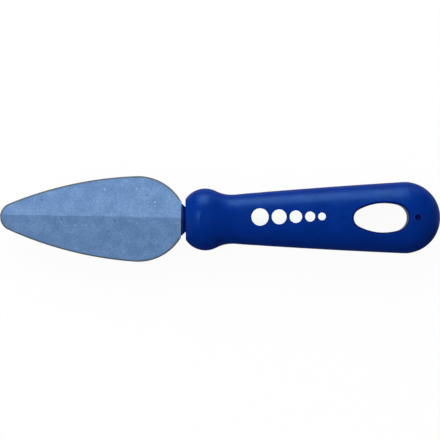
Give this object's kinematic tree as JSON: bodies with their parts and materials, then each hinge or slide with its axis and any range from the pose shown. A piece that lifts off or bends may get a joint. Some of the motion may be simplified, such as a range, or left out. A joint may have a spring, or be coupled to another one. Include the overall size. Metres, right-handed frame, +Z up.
{
  "type": "sharpening stone",
  "caption": "Leaf-shaped hand sharpening stone with ridged flat-faceted sides on a moulded plastic handle with a hanging hole.",
  "frame": {"origin": "centre of the tool's box seen from above, on the surface that the tool lies on", "axes": "+X from the stone's tip to the end of the handle, parallel to the handle's axis; +Y across the tool; +Z up, out of its upper side"},
  "size_m": [0.22, 0.0429, 0.022],
  "materials": {
    "stone": "matte",
    "handle": "satin"
  },
  "bodies": {
    "root": {"stone": "stone", "handle": "handle"}
  },
  "joints": []
}
